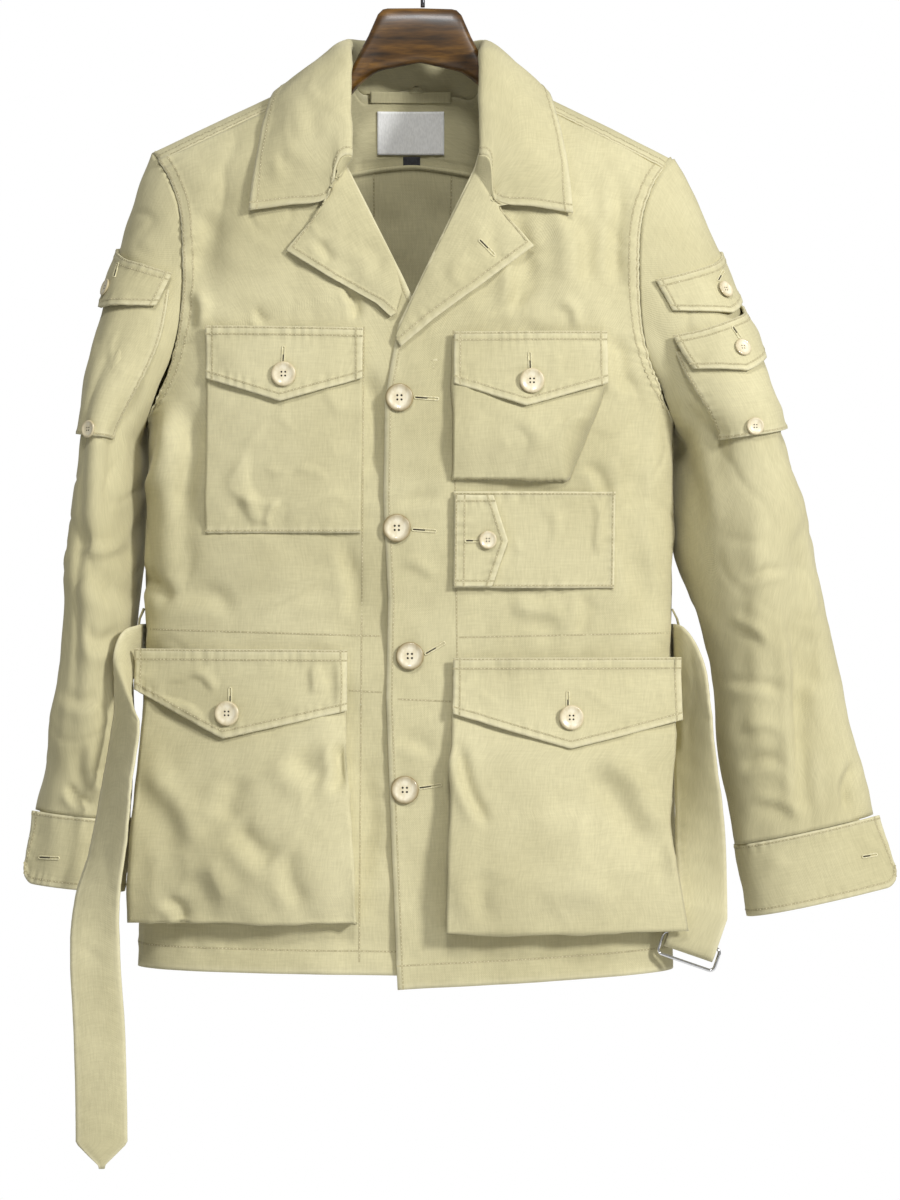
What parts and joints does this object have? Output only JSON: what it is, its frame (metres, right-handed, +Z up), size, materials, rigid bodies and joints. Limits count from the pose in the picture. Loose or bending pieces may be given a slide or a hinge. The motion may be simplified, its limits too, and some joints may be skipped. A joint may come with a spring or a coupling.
{
  "type": "military shirt jacket on a wooden hanger",
  "caption": "Khaki cotton military shirt jacket with an open collar, flapped chest, waist and sleeve pockets and a loose waist belt, hanging on a dark wooden hanger.",
  "frame": {"origin": "inside of the hook's crown, where the rail that holds the hanger lies", "axes": "+Z up, -Y out of the jacket's front, +X to the wearer's left"},
  "size_m": [0.7235, 0.1694, 1.025],
  "materials": {
    "cloth": "matte cotton twill",
    "button": "satin horn",
    "hanger_wood": "satin dark walnut",
    "hook_wire": "dark polished wire",
    "ring": "polished",
    "label": "woven, plain",
    "size_tab": "woven, plain"
  },
  "bodies": {
    "jacket": {"back": "cloth", "belt": "cloth", "belt_loop_back": "cloth", "belt_loop_left": "cloth", "belt_loop_right": "cloth", "breast_button_left": "button", "breast_button_right": "button", "breast_flap_left": "cloth", "breast_flap_right": "cloth", "breast_pocket_left": "cloth", "breast_pocket_right": "cloth", "collar": "cloth", "cuff_button_left": "button", "cuff_button_right": "button", "cuff_left": "cloth", "cuff_right": "cloth", "front_button_1": "button", "front_button_2": "button", "front_button_3": "button", "front_button_4": "button", "front_left": "cloth", "front_right": "cloth", "hanger_body": "hanger_wood", "hanger_hook": "hook_wire", "hanging_loop": "cloth", "lapel_left": "cloth", "lapel_right": "cloth", "lower_button_left": "button", "lower_button_right": "button", "lower_flap_left": "cloth", "lower_flap_right": "cloth", "lower_pocket_left": "cloth", "lower_pocket_right": "cloth", "neck_label": "label", "size_tab": "size_tab", "sleeve_button_left_lower": "button", "sleeve_button_left_middle": "button", "sleeve_button_left_upper": "button", "sleeve_button_right_lower": "button", "sleeve_button_right_upper": "button", "sleeve_flap_left_lower": "cloth", "sleeve_flap_left_upper": "cloth", "sleeve_flap_right": "cloth", "sleeve_left": "cloth", "sleeve_pocket_left": "cloth", "sleeve_pocket_right": "cloth", "sleeve_right": "cloth", "small_button": "button", "small_flap": "cloth", "small_pocket": "cloth", "yoke": "cloth"},
    "back_ring": {"ring_back": "ring"},
    "front_ring": {"ring_front": "ring"}
  },
  "joints": [
    {"name": "back_ring_swing", "type": "hinge", "parent": "jacket", "child": "back_ring", "pos_m": [0.2225, -0.047, -0.839], "axis": [0.9455, 0, -0.3256], "range_deg": [-30, 20]},
    {"name": "front_ring_swing", "type": "hinge", "parent": "back_ring", "child": "front_ring", "pos_m": [0.2225, -0.047, -0.839], "axis": [0.9455, 0, -0.3256], "range_deg": [-30, 0]}
  ]
}
